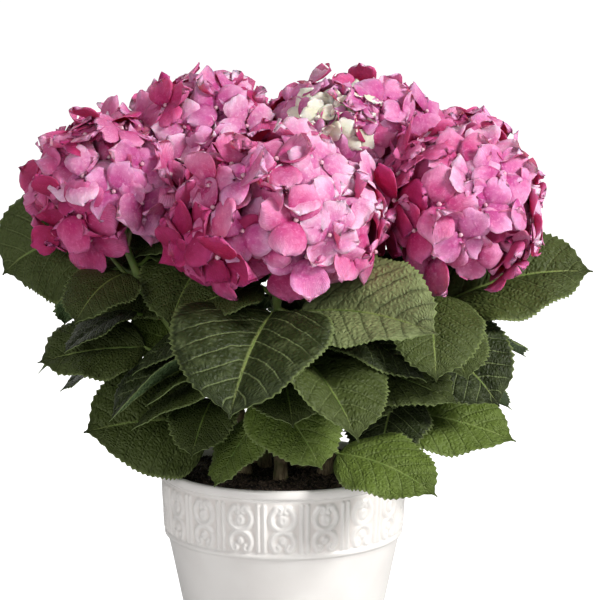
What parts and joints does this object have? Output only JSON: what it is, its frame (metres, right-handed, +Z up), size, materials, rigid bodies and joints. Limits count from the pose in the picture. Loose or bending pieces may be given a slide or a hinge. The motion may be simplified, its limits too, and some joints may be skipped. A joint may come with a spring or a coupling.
{
  "type": "potted hydrangea shrub",
  "caption": "Mophead hydrangea with round pink flower heads over broad serrated leaves, growing in a tapered white glazed pot with a relief band under its rim.",
  "frame": {"origin": "centre of the pot's flat underside", "axes": "+Z up along the pot's axis, -Y towards the plant's front, +X to the right seen from the front"},
  "size_m": [0.4307, 0.3576, 0.4488],
  "materials": {
    "glazed_pot": "smooth white glaze, softly glossy",
    "potting_soil": "dark moist crumbs",
    "stem": "green turning woody at the foot",
    "foliage": "dark green, soft sheen, quilted between the veins",
    "petal": "matt lavender pink"
  },
  "bodies": {
    "root": {"pot": "glazed_pot", "potting_soil": "potting_soil", "stem_left": "stem", "foliage_left": "foliage", "flower_head_left": "petal", "stem_mid_left": "stem", "foliage_mid_left": "foliage", "flower_head_mid_left": "petal", "stem_front": "stem", "foliage_front": "foliage", "flower_head_front": "petal", "stem_mid_right": "stem", "foliage_mid_right": "foliage", "flower_head_mid_right": "petal", "stem_right": "stem", "foliage_right": "foliage", "flower_head_right": "petal", "stem_back_left": "stem", "foliage_back_left": "foliage", "flower_head_back_left": "petal", "stem_back": "stem", "foliage_back": "foliage", "flower_head_back": "petal", "stem_back_right": "stem", "foliage_back_right": "foliage", "flower_head_back_right": "petal"}
  },
  "joints": []
}
